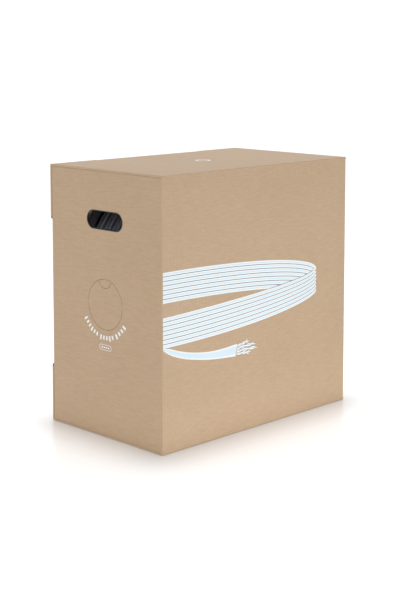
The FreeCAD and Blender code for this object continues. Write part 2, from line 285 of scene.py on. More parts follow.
def cut_edge_finish():
    finish, tree, shader = new_finish("cut_board_edge")
    torn = wire(tree, "ShaderNodeTexNoise", Vector=stretched(tree, (900, 900, 900)), Scale=1.0, Detail=3.0,
                Roughness=0.7).outputs["Fac"]
    colour = mixed(tree, ranged(tree, torn, 0.3, 0.7, 0.0, 1.0), EDGE_COLOUR, KRAFT_COLOUR)
    tree.links.new(colour, shader.inputs["Base Color"])
    shader.inputs["Roughness"].default_value = 0.9
    bump = wire(tree, "ShaderNodeBump", Height=torn, Strength=0.6, Distance=0.0003)
    tree.links.new(bump.outputs[0], shader.inputs["Normal"])
    return finish


kraft_by_axis = [kraft_finish("kraft_flutes_crossed_along_x", 0),
                 kraft_finish("kraft_flutes_crossed_along_y", 1)]
cut_edge = cut_edge_finish()


def placed(point, normal, depth):
    """A point of a sheet whose normal is X, Y or Z, at a depth along that normal."""
    full = list(point)
    full.insert(normal, depth)
    return full


def add_plate(mesh, loops, normal, low, high, skin, rim):
    """A flat plate with holes: loops are outlines in the two other axes, the first is the outer one."""
    sides = []
    for depth in (low, high):
        sides.append([mesh.verts.new(placed(point, normal, depth)) for loop in loops for point in loop])
    flat = [[Vector((point[0], point[1], 0)) for point in loop] for loop in loops]
    for triangle in tessellate_polygon(flat):
        for side in sides:
            mesh.faces.new([side[index] for index in triangle]).material_index = skin
    start = 0
    for loop in loops:
        for step in range(len(loop)):
            here = start + step
            ahead = start + (step + 1) % len(loop)
            corners = [sides[0][here], sides[0][ahead], sides[1][ahead], sides[1][here]]
            mesh.faces.new(corners).material_index = rim
        start += len(loop)


def runs_inside(loops, across, level):
    """The stretches inside an outline along one line at a level on the crossed axis."""
    cuts = []
    for loop in loops:
        for here, ahead in zip(loop, loop[1:] + loop[:1]):
            if (here[across] > level) != (ahead[across] > level):
                share = (level - here[across]) / (ahead[across] - here[across])
                cuts.append(here[1 - across] + share * (ahead[1 - across] - here[1 - across]))
    cuts.sort()
    return [run for run in zip(cuts[0::2], cuts[1::2]) if run[1] - run[0] > 0.0004]


def add_fluting(mesh, loops, normal, low, high, across, rim):
    """The fluted sheet between two liners, clipped to the same outline."""
    steps_per_flute = 10
    middle = (low + high) / 2
    swing = (high - low - FLUTE_SHEET) / 2
    levels = [point[across] for point in loops[0]]
    first = math.ceil(min(levels) / FLUTE_PITCH * steps_per_flute + 0.7)
    last = math.floor(max(levels) / FLUTE_PITCH * steps_per_flute - 0.7)
    previous = []
    for step in range(first, last + 2):
        level = step * FLUTE_PITCH / steps_per_flute
        turn = 2 * math.pi * step / steps_per_flute
        depth = middle + swing * math.sin(turn)
        column = []
        if step <= last:
            for run in runs_inside(loops, across, level):
                corners = []
                for place, side in ((run[0], -1), (run[0], 1), (run[1], 1), (run[1], -1)):
                    point = (level, place) if across == 0 else (place, level)
                    corners.append(mesh.verts.new(placed(point, normal, depth + side * FLUTE_SHEET / 2)))
                column.append(corners)
        if previous and len(previous) == len(column):
            for back, front in zip(previous, column):
                for edge in range(4):
                    ring = [back[edge], back[(edge + 1) % 4], front[(edge + 1) % 4], front[edge]]
                    mesh.faces.new(ring).material_index = rim
        else:
            for corners in previous + column:
                mesh.faces.new(corners).material_index = rim
        previous = column


def rectangle(a, b):
    return [(a[0], b[0]), (a[1], b[0]), (a[1], b[1]), (a[0], b[1])]


def add_pressed_edges(mesh, outline, normal, low, high, across):
    """Where the knife ran along the flutes it pressed the board shut with a thin strip of liner."""
    middle = sum(point[across] for point in outline) / len(outline)
    for here, ahead in zip(outline, outline[1:] + outline[:1]):
        level = here[across]
        run = (here[1 - across], ahead[1 - across])
        if abs(level - ahead[across]) < 1e-6 and abs(run[1] - run[0]) > 0.01:
            depth = (level, level + math.copysign(PRESSED_DEPTH, middle - level))
            corners = rectangle(depth, run) if across == 0 else rectangle(run, depth)
            add_plate(mesh, [corners], normal, low, high, 0, 0)


def finished_piece(name, mesh, finishes):
    bmesh.ops.recalc_face_normals(mesh, faces=mesh.faces)
    data = bpy.data.meshes.new(name)
    mesh.to_mesh(data)
    mesh.free()
    for finish in finishes:
        data.materials.append(finish)
    piece = bpy.data.objects.new(name, data)
    bpy.context.scene.collection.objects.link(piece)
    return piece


def make_board(node, loops, normal, walls, across, body):
    """Corrugated board in place of a CAD node. Each wall is (outer face, inner face) along the normal;
    across is 0 or 1, the one of the sheet's two axes that the flutes cross."""
    mesh = bmesh.new()
    for outer, inner in walls:
        inward = math.copysign(1, inner - outer)
        under_outer = outer + inward * LINER
        under_inner = inner - inward * LINER
        add_plate(mesh, loops, normal, outer, under_outer, 0, 1)
        add_plate(mesh, loops, normal, under_inner, inner, 0, 1)
        inside = sorted((under_outer, under_inner))
        add_fluting(mesh, loops, normal, inside[0], inside[1], across, 1)
        add_pressed_edges(mesh, loops[0], normal, inside[0], inside[1], across)
    crossed_axis = [axis for axis in (0, 1, 2) if axis != normal][across]
    board_finishes = [kraft_by_axis[min(crossed_axis, 1)], cut_edge]
    piece = finished_piece(node + "_board", mesh, board_finishes)
    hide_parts(node)
    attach(piece, body)
    return piece


# ---- Carton walls ----
# The wrap of four standing walls, with the top and bottom panels creased from the front one. Every panel
# stops short of its creases, which are pieces of their own. The flutes stand upright in the walls and run
# front to back in the top and bottom.

front_low, front_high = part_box("front_panel")
back_low, back_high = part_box("back_panel")
left_low, left_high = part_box("left_end_panel")
right_low, right_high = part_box("right_end_panel")
top_low, top_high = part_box("top_panel")
bottom_low, bottom_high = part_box("bottom_panel")
CREASE_REACH = 0.0032           # from the outer corner to where a flat panel starts
SLOT_GAP = 0.0006
SEAM = 0.0001
LEFT_FACE = left_low.x + PAPER_SKIN
RIGHT_FACE = right_high.x - PAPER_SKIN
FRONT_FACE = front_low.y + PAPER_SKIN
BACK_FACE = back_high.y
TOP_FACE = top_high.z - PAPER_SKIN
BOTTOM_FACE = bottom_low.z + PAPER_SKIN
BOARD_THICK = front_high.y - FRONT_FACE
MIDDLE_Y = (left_low.y + left_high.y) / 2


def arc(centre, radius, first, last, count):
    points = []
    for step in range(count + 1):
        angle = math.radians(first + (last - first) * step / count)
        points.append((centre[0] + radius * math.cos(angle), centre[1] + radius * math.sin(angle)))
    return points


def pill(centre, width, height):
    half_run = (width - height) / 2
    right = arc((centre[0] + half_run, centre[1]), height / 2, -90, 90, 16)
    left = arc((centre[0] - half_run, centre[1]), height / 2, 90, 270, 16)
    return right + left


wall_x = (LEFT_FACE + CREASE_REACH, RIGHT_FACE - CREASE_REACH)
wall_z = (BOTTOM_FACE + CREASE_REACH, TOP_FACE - CREASE_REACH)
make_board("front_panel", [rectangle(wall_x, wall_z)], 1, [(FRONT_FACE, front_high.y)], 0, "root")
make_board("back_panel", [rectangle((wall_x[0], RIGHT_FACE), (back_low.z, back_high.z))], 1,
           [(BACK_FACE, back_low.y)], 0, "root")

end_y = (FRONT_FACE + CREASE_REACH, BACK_FACE - CREASE_REACH)
crease_overlap = CREASE_REACH - BOARD_THICK
end_z = (left_low.z + crease_overlap, left_high.z - crease_overlap)
liner_low, liner_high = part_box("left_handle_liner")
HAND_HOLE_Z = (liner_low.z + liner_high.z) / 2
HAND_HOLE_WIDTH = 0.0795
HAND_HOLE_HEIGHT = 0.0285
hand_hole = pill((MIDDLE_Y, HAND_HOLE_Z), HAND_HOLE_WIDTH, HAND_HOLE_HEIGHT)
ring_low, ring_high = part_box("outlet_ring")
OUTLET_Z = (ring_low.z + ring_high.z) / 2
OUTLET_RADIUS = 0.038
outlet_hole = arc((MIDDLE_Y, OUTLET_Z), OUTLET_RADIUS, 0, 356.25, 95)
make_board("left_end_panel", [rectangle(end_y, end_z), hand_hole, outlet_hole], 0,
           [(LEFT_FACE, left_high.x)], 0, "root")
make_board("right_end_panel", [rectangle((end_y[0], back_low.y), end_z), hand_hole], 0,
           [(RIGHT_FACE, right_low.x)], 0, "root")

glue_low, glue_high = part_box("glue_flap")
GLUE_TAPER = 0.010
glue_outline = [(glue_high.x, glue_low.z), (glue_high.x, glue_high.z),
                (glue_low.x, glue_high.z - GLUE_TAPER), (glue_low.x, glue_low.z + GLUE_TAPER)]
make_board("glue_flap", [glue_outline], 1, [(glue_high.y, glue_low.y)], 0, "root")

tab_low, tab_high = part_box("top_tab_left")
TAB_FACE = tab_high.y - PAPER_SKIN
TAB_REACH_X = tab_high.x - tab_low.x
SETBACK_Y = tab_high.y - 0.005


def closure_outline():
    """Top or bottom panel: out to the tabs' creases, and set back between the tabs."""
    step_left = LEFT_FACE + TAB_REACH_X
    step_right = RIGHT_FACE - TAB_REACH_X
    front_edge = FRONT_FACE + CREASE_REACH
    rear_edge = TAB_FACE - CREASE_REACH
    return [(LEFT_FACE, front_edge), (RIGHT_FACE, front_edge), (RIGHT_FACE, rear_edge), (step_right, rear_edge),
            (step_right - SLOT_GAP, SETBACK_Y), (step_left + SLOT_GAP, SETBACK_Y), (step_left, rear_edge),
            (LEFT_FACE, rear_edge)]


make_board("top_panel", [closure_outline()], 2, [(TOP_FACE, top_low.z)], 0, "lid")
make_board("bottom_panel", [closure_outline()], 2, [(BOTTOM_FACE, bottom_high.z)], 0, "root")

# ---- Closing tabs ----
# Four tabs creased from the top and bottom panels and glued on the outside of the back. The two at the top
# are peeled off and swing out when the lid is opened.

TAB_CORNER = 0.004


def tab_outline(x, root_z, free_z):
    """A tab with rounded free corners; root_z is its creased edge."""
    down = math.copysign(1, free_z - root_z)
    centre_z = free_z - down * TAB_CORNER
    far = arc((x[1] - TAB_CORNER, centre_z), TAB_CORNER, 0, down * 90, 6)
    near = arc((x[0] + TAB_CORNER, centre_z), TAB_CORNER, down * 90, down * 180, 6)
    return [(x[0], root_z), (x[1], root_z)] + far + near


for side in ("left", "right"):
    low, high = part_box("top_tab_" + side)
    tab_x = (max(low.x, LEFT_FACE), min(high.x, RIGHT_FACE))
    top_outline = tab_outline(tab_x, TOP_FACE - CREASE_REACH, low.z)
    make_board("top_tab_" + side, [top_outline], 1, [(TAB_FACE, low.y)], 0, "top_tab_" + side)
    high_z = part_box("bottom_tab_" + side)[1].z
    bottom_outline = tab_outline(tab_x, BOTTOM_FACE + CREASE_REACH, high_z)
    make_board("bottom_tab_" + side, [bottom_outline], 1, [(TAB_FACE, low.y)], 0, "root")

# ---- Dust flaps ----
# Short flaps creased from the two end walls; the top ones lie under the lid and the bottom ones on the
# bottom panel. Their flutes run along the carton, so their free edges show the waves.

DUST_CORNER = 0.004


def dust_outline(root_x, free_x, y):
    out = math.copysign(1, free_x - root_x)
    centre_x = free_x - out * DUST_CORNER
    corner_high = [(centre_x + out * (p[0] - centre_x), p[1])
                   for p in arc((centre_x, y[1] - DUST_CORNER), DUST_CORNER, 90, 0, 6)]
    corner_low = [(centre_x + out * (p[0] - centre_x), p[1])
                  for p in arc((centre_x, y[0] + DUST_CORNER), DUST_CORNER, 0, -90, 6)]
    return [(root_x, y[0]), (root_x, y[1])] + corner_high + corner_low


for side in ("left", "right"):
    for level in ("top", "bottom"):
        node = level + "_dust_flap_" + side
        low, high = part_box(node)
        if side == "left":
            root_x, free_x = LEFT_FACE + CREASE_REACH, high.x
        else:
            root_x, free_x = RIGHT_FACE - CREASE_REACH, low.x
        skins = (high.z, low.z) if level == "top" else (low.z, high.z)
        make_board(node, [dust_outline(root_x, free_x, (low.y, high.y))], 2, [skins], 1, "root")

# ---- Creases ----
# Where the board is scored and folded its outer liner goes round a small radius and the fluting inside is
# crushed.

CREASE_RADIUS = 0.0014
SHARP_RADIUS = 0.0006           # the dust flaps are pressed flat under the lid
CREASE_BEAD = 0.0004


def make_crease(name, run_axis, run, corner, toward_a, toward_b, radius=CREASE_RADIUS):
    """A folded corner of board. corner is the outer corner in the two axes other than the run's;
    toward_a and toward_b are unit steps from it along the two outer faces."""
    profile = [(CREASE_REACH, 0), (radius, 0)]
    steps = 10
    for step in range(1, steps):
        angle = math.pi / 2 * step / steps
        profile.append((radius * (1 - math.sin(angle)), radius * (1 - math.cos(angle))))
    profile += [(0, radius), (0, CREASE_REACH)]
    bead = BOARD_THICK + CREASE_BEAD
    profile += [(BOARD_THICK, CREASE_REACH), (bead, bead), (CREASE_REACH, BOARD_THICK)]
    mesh = bmesh.new()
    rings = []
    for place in run:
        ring = []
        for a, b in profile:
            point = [corner[i] + a * toward_a[i] + b * toward_b[i] for i in (0, 1)]
            ring.append(mesh.verts.new(placed(point, run_axis, place)))
        mesh.faces.new(ring)
        rings.append(ring)
    for index in range(len(profile)):
        ahead = (index + 1) % len(profile)
        mesh.faces.new([rings[0][index], rings[0][ahead], rings[1][ahead], rings[1][index]])
    crossed = 1 if run_axis == 1 else 0
    return finished_piece(name, mesh, [kraft_by_axis[crossed]])


def bend_crease(piece):
    """Bakes the crease's placement into its mesh."""
    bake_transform(piece)


full_run = (LEFT_FACE, RIGHT_FACE)
lid_corner = (FRONT_FACE, TOP_FACE)
lid_crease = make_crease("lid_crease", 0, full_run, lid_corner, (0, -1), (1, 0))
bend_crease(lid_crease)
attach(make_crease("bottom_crease", 0, full_run, (FRONT_FACE, BOTTOM_FACE), (0, 1), (1, 0)), "root")
for side, tab_run in (("left", (LEFT_FACE, LEFT_FACE + TAB_REACH_X)),
                      ("right", (RIGHT_FACE - TAB_REACH_X, RIGHT_FACE))):
    tab_corner = (TAB_FACE, TOP_FACE)
    crease = make_crease("top_tab_crease_" + side, 0, tab_run, tab_corner, (-1, 0), (0, -1))
    bend_crease(crease)
    crease = make_crease("bottom_tab_crease_" + side, 0, tab_run, (TAB_FACE, BOTTOM_FACE), (-1, 0), (0, 1))
    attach(crease, "root")
upright = (wall_z[0] + SEAM, wall_z[1] - SEAM)
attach(make_crease("front_left_crease", 2, upright, (LEFT_FACE, FRONT_FACE), (1, 0), (0, 1)), "root")
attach(make_crease("front_right_crease", 2, upright, (RIGHT_FACE, FRONT_FACE), (-1, 0), (0, 1)), "root")
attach(make_crease("back_left_crease", 2, upright, (LEFT_FACE, BACK_FACE), (1, 0), (0, -1)), "root")
flap_run = (end_y[0] + SEAM, end_y[1] - SEAM)
for side, face, inward in (("left", LEFT_FACE, 1), ("right", RIGHT_FACE, -1)):
    top_corner = (face, left_high.z + BOARD_THICK)
    bottom_corner = (face, left_low.z - BOARD_THICK)
    crease = make_crease("top_dust_crease_" + side, 1, flap_run, top_corner, (0, -1), (inward, 0), SHARP_RADIUS)
    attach(crease, "root")
    crease = make_crease("bottom_dust_crease_" + side, 1, flap_run, bottom_corner, (0, 1), (inward, 0), SHARP_RADIUS)
    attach(crease, "root")

# ---- Knock-out disc and thumb tab ----
# Cut from the end wall itself with a perforating rule, and held by short nicks. The half-moon at the top is
# pushed in first; the disc is then pulled out by its edge.

CUT_GAP = 0.0005
THUMB_RADIUS = 0.0135
NICK_HALF_ANGLE = 2.6
NICK_CLEARANCE = 0.0001
disc_radius = OUTLET_RADIUS - CUT_GAP


def rim_point(angle, nicks):
    """A point on the disc's rim; at a nick the rim reaches nearly to the wall."""
    radius = disc_radius
    if any(abs(angle - nick) < NICK_HALF_ANGLE for nick in nicks):
        radius = OUTLET_RADIUS - NICK_CLEARANCE
    turn = math.radians(angle)
    return (MIDDLE_Y + radius * math.cos(turn), OUTLET_Z + radius * math.sin(turn))


def meeting_angles(cutter):
    """Where the disc's rim meets a circle round the rim's top, seen from the disc and from the top."""
    height = (disc_radius ** 2 - cutter ** 2 + OUTLET_RADIUS ** 2) / (2 * OUTLET_RADIUS)
    half_width = math.sqrt(disc_radius ** 2 - height ** 2)
    on_disc = math.degrees(math.atan2(height, half_width))
    on_cutter = math.degrees(math.atan2(height - OUTLET_RADIUS, half_width))
    return on_disc, on_cutter


thumb_top = (MIDDLE_Y, OUTLET_Z + OUTLET_RADIUS)
on_disc, on_cutter = meeting_angles(THUMB_RADIUS + CUT_GAP)
rim_steps = 220
rim_span = 180 + 2 * on_disc
disc_outline = [rim_point(on_disc - rim_span * step / rim_steps, (0, -90, -180)) for step in range(rim_steps + 1)]
disc_outline += arc(thumb_top, THUMB_RADIUS + CUT_GAP, 180 - on_cutter, 360 + on_cutter, 24)[1:-1]
make_board("outlet_knockout_disc", [disc_outline], 0, [(LEFT_FACE, left_high.x)], 0, "knockout")

on_disc, on_cutter = meeting_angles(THUMB_RADIUS)
crown_steps = 40
crown_span = 180 - 2 * on_disc
thumb_outline = [rim_point(on_disc + crown_span * step / crown_steps, (90,)) for step in range(crown_steps + 1)]
thumb_outline += arc(thumb_top, THUMB_RADIUS, 180 - on_cutter, 360 + on_cutter, 24)[1:-1]
make_board("outlet_thumb_tab", [thumb_outline], 0, [(LEFT_FACE, left_high.x)], 0, "thumb_tab")

# ---- Printing ----
# One pass of white and one of pale blue ink on the kraft: a loosely coiled cable on the front whose end
# shows its bare cores, plain bars in an arc and a badge round the outlet, and a ring on the lid.

INK_WHITE = (0.80, 0.825, 0.83, 1)
INK_BLUE = (0.60, 0.745, 0.825, 1)
INK_GREY = (0.15, 0.19, 0.23, 1)


def ink_finish(name, colour, thin):
    """Flexographic ink: the board's grain shows faintly through it, more so where thin is higher."""
    finish, tree, shader = new_finish(name)
    mottle = wire(tree, "ShaderNodeTexNoise", Vector=stretched(tree, (180, 180, 700)), Scale=1.0, Detail=4.0,
                  Roughness=0.7).outputs["Fac"]
    cover = ranged(tree, mottle, 0.30, 0.75, 0.0, thin)
    tree.links.new(mixed(tree, cover, colour, KRAFT_LIGHT), shader.inputs["Base Color"])
    shader.inputs["Roughness"].default_value = 0.55
    relief = calc(tree, "MULTIPLY_ADD", washboard(tree, 0), 0.3, mottle)
    bump = wire(tree, "ShaderNodeBump", Height=relief, Strength=0.3, Distance=0.0001)
    tree.links.new(bump.outputs[0], shader.inputs["Normal"])
    return finish


inks = [ink_finish("white_ink", INK_WHITE, 0.12), ink_finish("pale_blue_ink", INK_BLUE, 0.12),
        ink_finish("grey_ink", INK_GREY, 0.20)]
WHITE, BLUE, GREY = 0, 1, 2
STRAND_GAP = 0.00110
STRANDS = 7
COIL_END = 0.3355               # from the carton's left edge
PRINT_START = 0.0016


def add_ink_band(mesh, lower, upper, shares, bands, cover=0.6):
    """Ink between two lines, split at the given shares of its width into bands of ink. The film stands off
    the liner by cover times the skin that is left for it, so overprinted lines lie on top."""
    film_face = FRONT_FACE - PAPER_SKIN * cover
    rows = []
    for low_point, high_point in zip(lower, upper):
        row = []
        for share in shares:
            u, z = Vector(low_point).lerp(Vector(high_point), share)
            x = LEFT_FACE - PAPER_SKIN + u
            row.append((mesh.verts.new((x, film_face, z)), mesh.verts.new((x, FRONT_FACE, z))))
        rows.append(row)
    for here, ahead in zip(rows, rows[1:]):
        for band, ink in enumerate(bands):
            for layer in (0, 1):
                corners = [here[band][layer], here[band + 1][layer],
                           ahead[band + 1][layer], ahead[band][layer]]
                mesh.faces.new(corners).material_index = ink
        for line in (0, len(bands)):
            side = [here[line][0], here[line][1], ahead[line][1], ahead[line][0]]
            mesh.faces.new(side).material_index = bands[0]
    for row in (rows[0], rows[-1]):
        for band, ink in enumerate(bands):
            end = [row[band][0], row[band + 1][0], row[band + 1][1], row[band][1]]
            mesh.faces.new(end).material_index = ink


def front_line(share, u):
    """Height of the coil's near side between its top strand (share 0) and its bottom one (share 1)."""
    reach = 0.331 + 0.0045 * share
    if u >= reach:
        return 0.2300 - 0.0390 * share
    fall = (1 - (u / reach) ** (1.2 + 0.8 * share)) ** (0.45 + 0.15 * share)
    return 0.2300 - 0.0390 * share - (0.0312 + 0.0056 * share) * fall


def rear_line(share, u):
    """Height of the coil's far side, which passes behind the near side."""
    return 0.2280 - 0.0450 * share + 0.0356 * math.sqrt(max(0.0, 1 - (u / COIL_END) ** 2))


def add_strand(mesh, lower, upper):
    add_ink_band(mesh, lower, upper, (0, 0.30, 0.70, 1), (WHITE, BLUE, WHITE))


def add_line(mesh, lower, upper):
    add_ink_band(mesh, lower, upper, (0, 1), (GREY,))


coil_places = [PRINT_START + (COIL_END - PRINT_START) * math.sin(math.pi / 2 * step / 70) for step in range(71)]
half_gap = STRAND_GAP / 2
coil = bmesh.new()
for strand in range(STRANDS):
    top_share = strand / STRANDS
    bottom_share = (strand + 1) / STRANDS
    upper, lower = [], []
    for u in coil_places:
        rounding = 0.0012 * max(0.0, 1 - (COIL_END - u) / 0.0010)
        upper.append((u, front_line(top_share, u) - half_gap - rounding))
        lower.append((u, front_line(bottom_share, u) + half_gap + rounding))
    add_strand(coil, lower, upper)
    upper, lower = [], []
    for u in coil_places:
        high_z = rear_line(top_share, u) - half_gap
        clear = STRAND_GAP * min(1.0, max(0.0, (0.331 - u) / 0.006)) if strand == 0 else STRAND_GAP
        low_z = max(rear_line(bottom_share, u) + half_gap, front_line(0, u) + clear - half_gap)
        if high_z - low_z < 0.0003:
            break
        upper.append((u, high_z))
        lower.append((u, low_z))
    add_strand(coil, lower, upper)
for line in range(1, STRANDS):
    share = line / STRANDS
    add_line(coil, [(u, front_line(share, u) - half_gap) for u in coil_places],
             [(u, front_line(share, u) + half_gap) for u in coil_places])
    visible = [u for u in coil_places if rear_line(share, u) - half_gap > front_line(0, u) + half_gap]
    add_line(coil, [(u, rear_line(share, u) - half_gap) for u in visible],
             [(u, rear_line(share, u) + half_gap) for u in visible])
crossing = [u for u in coil_places if rear_line(1, u) < front_line(0, u) and u < 0.328]
add_line(coil, [(u, front_line(0, u) - half_gap) for u in crossing],
         [(u, front_line(0, u) + half_gap) for u in crossing])


def curve_through(points, count):
    """A smooth line through given points, sampled evenly."""
    spline_data = bpy.data.curves.new("print_guide", "CURVE")
    spline = spline_data.splines.new("BEZIER")
    spline.bezier_points.add(len(points) - 1)
    for knot, (u, z) in zip(spline.bezier_points, points):
        knot.co = (u, z, 0)
        knot.handle_left_type = knot.handle_right_type = "AUTO"
    spline_data.resolution_u = count
    guide = bpy.data.objects.new("print_guide", spline_data)
    bpy.context.scene.collection.objects.link(guide)
    line = guide.to_mesh()
    sampled = [(vertex.co.x, vertex.co.y) for vertex in line.vertices]
    guide.to_mesh_clear()
    bpy.data.objects.remove(guide)
    bpy.data.curves.remove(spline_data)
    return sampled


tail_upper = curve_through([(PRINT_START, 0.1546), (0.012, 0.1531), (0.034, 0.1458), (0.068, 0.1380),
                            (0.107, 0.1342), (0.154, 0.1362)], 10)
tail_lower = curve_through([(PRINT_START, 0.1523), (0.010, 0.1462), (0.034, 0.1358), (0.068, 0.1273),
                            (0.107, 0.1213), (0.150, 0.1180)], 10)
add_ink_band(coil, tail_lower, tail_upper, (0, 0.17, 0.83, 1), (WHITE, BLUE, WHITE))
JACKET_END = ((0.1515, 0.1196), (0.1545, 0.1347))
PAIR_TIPS = [(0.1835, 0.1190), (0.1985, 0.1245), (0.1945, 0.1318), (0.1795, 0.1378)]
for pair, tip in enumerate(PAIR_TIPS):
    root = Vector(JACKET_END[0]).lerp(Vector(JACKET_END[1]), (pair + 0.5) / len(PAIR_TIPS))
    reach = Vector(tip) - root
    across_pair = Vector((-reach.y, reach.x)).normalized()
    for core in (0, 1):
        upper, lower = [], []
        steps = 28
        for step in range(steps + 1):
            part = step / steps
            length = part * (1 - 0.10 * core)
            twist = math.sin(length * 9.5 + pair) * (1 - 2 * core)
            spread = 0.0011 + 0.0008 * max(0.0, part - 0.7) / 0.3
            half = 0.00165 * min(1.0, 6 * (1.02 - part))
            centre = root + reach * length + across_pair * twist * spread
            upper.append(centre + across_pair * half)
            lower.append(centre - across_pair * half)
        add_ink_band(coil, lower, upper, (0, 0.16, 0.84, 1), (GREY, WHITE, GREY), 0.8 + 0.2 * core)
printed_coil = finished_piece("printed_cable_coil", coil, inks)
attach(printed_coil, "root")

end_print = bmesh.new()
END_SKIN = (LEFT_FACE, LEFT_FACE - PAPER_SKIN)
ARC_INNER = 0.0465
ARC_OUTER = 0.0542
SHORT_BAR = 0.0016
BAR_FILL = 0.48
bar_groups = [(-29, 6, 7.5), (-77, 5, 7.6), (-118, 4, 8.8)]      # first angle, bars, degrees a bar
for first_angle, bars, pitch in bar_groups:
    for index in range(bars):
        start_angle = first_angle - index * pitch
        end_angle = start_angle - pitch * BAR_FILL
        outer_radius = ARC_OUTER if index % 3 == 0 else ARC_OUTER - SHORT_BAR
        outer = arc((MIDDLE_Y, OUTLET_Z), outer_radius, start_angle, end_angle, 3)
        inner = arc((MIDDLE_Y, OUTLET_Z), ARC_INNER, end_angle, start_angle, 3)
        add_plate(end_print, [outer + inner], 0, *END_SKIN, 0, 0)
BADGE_DROP = 0.064
badge_centre = (MIDDLE_Y, OUTLET_Z - BADGE_DROP)
badge_outline = [pill(badge_centre, 0.0270, 0.0085), pill(badge_centre, 0.0256, 0.0071)]
add_plate(end_print, badge_outline, 0, *END_SKIN, 0, 0)
for index in range(4):
    bar_y = MIDDLE_Y - 0.0072 + index * 0.0048
    add_plate(end_print, [pill((bar_y, badge_centre[1]), 0.0034, 0.0022)], 0, *END_SKIN, 0, 0)
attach(finished_piece("printed_end_bars", end_print, inks[:1]), "root")

lid_print = bmesh.new()
ring_centre = (0.0, MIDDLE_Y)
lid_loops = [arc(ring_centre, 0.0125, 0, 355, 71), arc(ring_centre, 0.0088, 0, 355, 71)]
add_plate(lid_print, lid_loops, 2, TOP_FACE, TOP_FACE + PAPER_SKIN, 0, 0)
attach(finished_piece("printed_lid_ring", lid_print, inks[:1]), "lid")

# ---- Hand-hole liners and outlet ring ----
# Shallow black injection-moulded grommets in the hand holes and a guide ring behind the outlet, each with a
# lip glued on the inside of the wall. Fine spark-eroded texture, edges broken by a small radius.

BLACK_PLASTIC = (0.009, 0.009, 0.011, 1)


def moulded_finish(name, colour, grain, roughness):
    finish, tree, shader = new_finish(name)
    spark = wire(tree, "ShaderNodeTexNoise", Vector=stretched(tree, (grain, grain, grain)), Scale=1.0, Detail=3.0,
                 Roughness=0.6).outputs["Fac"]
    sink = wire(tree, "ShaderNodeTexNoise", Vector=stretched(tree, (25, 25, 25)), Scale=1.0, Detail=2.0,
                Roughness=0.5).outputs["Fac"]
    paler = tuple(min(1.0, part * 1.5 + 0.004) for part in colour[:3]) + (1,)
    flow = mixed(tree, ranged(tree, sink, 0.3, 0.7, 0.0, 0.6), colour, paler)
    tree.links.new(flow, shader.inputs["Base Color"])
    gloss = ranged(tree, spark, 0.3, 0.7, roughness - 0.06, roughness + 0.08)
    tree.links.new(gloss, shader.inputs["Roughness"])
    bump = wire(tree, "ShaderNodeBump", Height=spark, Strength=0.25, Distance=0.0001)
    tree.links.new(bump.outputs[0], shader.inputs["Normal"])
    return finish


def dress_node(node, finish, edge_radius):
    """Give a CAD node its finish and break its sharp edges."""
    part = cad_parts[node]
    part.data.materials.clear()
    part.data.materials.append(finish)
    if edge_radius:
        softened = part.modifiers.new("broken_edges", "BEVEL")
        softened.width = edge_radius
        softened.segments = 2
        softened.limit_method = "ANGLE"
        softened.angle_limit = math.radians(50)
        softened.harden_normals = False


black_moulding = moulded_finish("black_moulded_plastic", BLACK_PLASTIC, 1500, 0.42)
for node in ("left_handle_liner", "right_handle_liner", "outlet_ring"):
    dress_node(node, black_moulding, 0.0003)

# ---- Axle and what holds it ----
# Two double-wall pads glued inside the front and back walls, each with a cup of natural acetal that holds
# an end of the fixed steel tube.

for place, wall_face in (("front", front_high.y), ("back", back_low.y)):
    low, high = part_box(place + "_axle_pad")
    pad_hole = arc(((low.x + high.x) / 2, (low.z + high.z) / 2), 0.0171, 0, 352.5, 47)
    pad_loops = [rectangle((low.x, high.x), (low.z, high.z)), pad_hole]
    half_depth = (low.y + high.y) / 2
    make_board(place + "_axle_pad", pad_loops, 1, [(low.y, half_depth - 0.00005), (half_depth + 0.00005, high.y)],
               0, "root")

natural_acetal = moulded_finish("natural_acetal", (0.62, 0.60, 0.54, 1), 1100, 0.38)
for node in ("front_axle_cup", "back_axle_cup", "spool_bushing_front", "spool_bushing_back"):
    dress_node(node, natural_acetal, 0.0003)


def steel_finish(name, colour, along):
    """Drawn or turned steel with scratches along one axis."""
    finish, tree, shader = new_finish(name)
    scales = [1400, 1400, 1400]
    scales[along] = 60
    scratch = wire(tree, "ShaderNodeTexNoise", Vector=stretched(tree, scales), Scale=1.0, Detail=4.0,
                   Roughness=0.6).outputs["Fac"]
    bloom = wire(tree, "ShaderNodeTexNoise", Vector=stretched(tree, (90, 90, 90)), Scale=1.0, Detail=3.0,
                 Roughness=0.6).outputs["Fac"]
    duller = tuple(part * 0.72 for part in colour[:3]) + (1,)
    plating = mixed(tree, ranged(tree, bloom, 0.35, 0.7, 0.0, 1.0), colour, duller)
    tree.links.new(plating, shader.inputs["Base Color"])
    tree.links.new(ranged(tree, scratch, 0.3, 0.7, 0.24, 0.42), shader.inputs["Roughness"])
    shader.inputs["Metallic"].default_value = 1.0
    bump = wire(tree, "ShaderNodeBump", Height=scratch, Strength=0.2, Distance=0.00008)
    tree.links.new(bump.outputs[0], shader.inputs["Normal"])
    return finish


dress_node("axle_tube", steel_finish("drawn_steel_tube", (0.56, 0.56, 0.57, 1), 1), 0.0003)

# ---- Spool ----
# Two ribbed flanges of black plastic clamped on a spirally wound board tube by four threaded rods with
# nuts and wide washers; it turns on its two bushings.

black_flange = moulded_finish("black_spool_plastic", (0.009, 0.010, 0.012, 1), 900, 0.46)
for node in ("spool_flange_front", "spool_flange_back"):
    dress_node(node, black_flange, 0.0006)


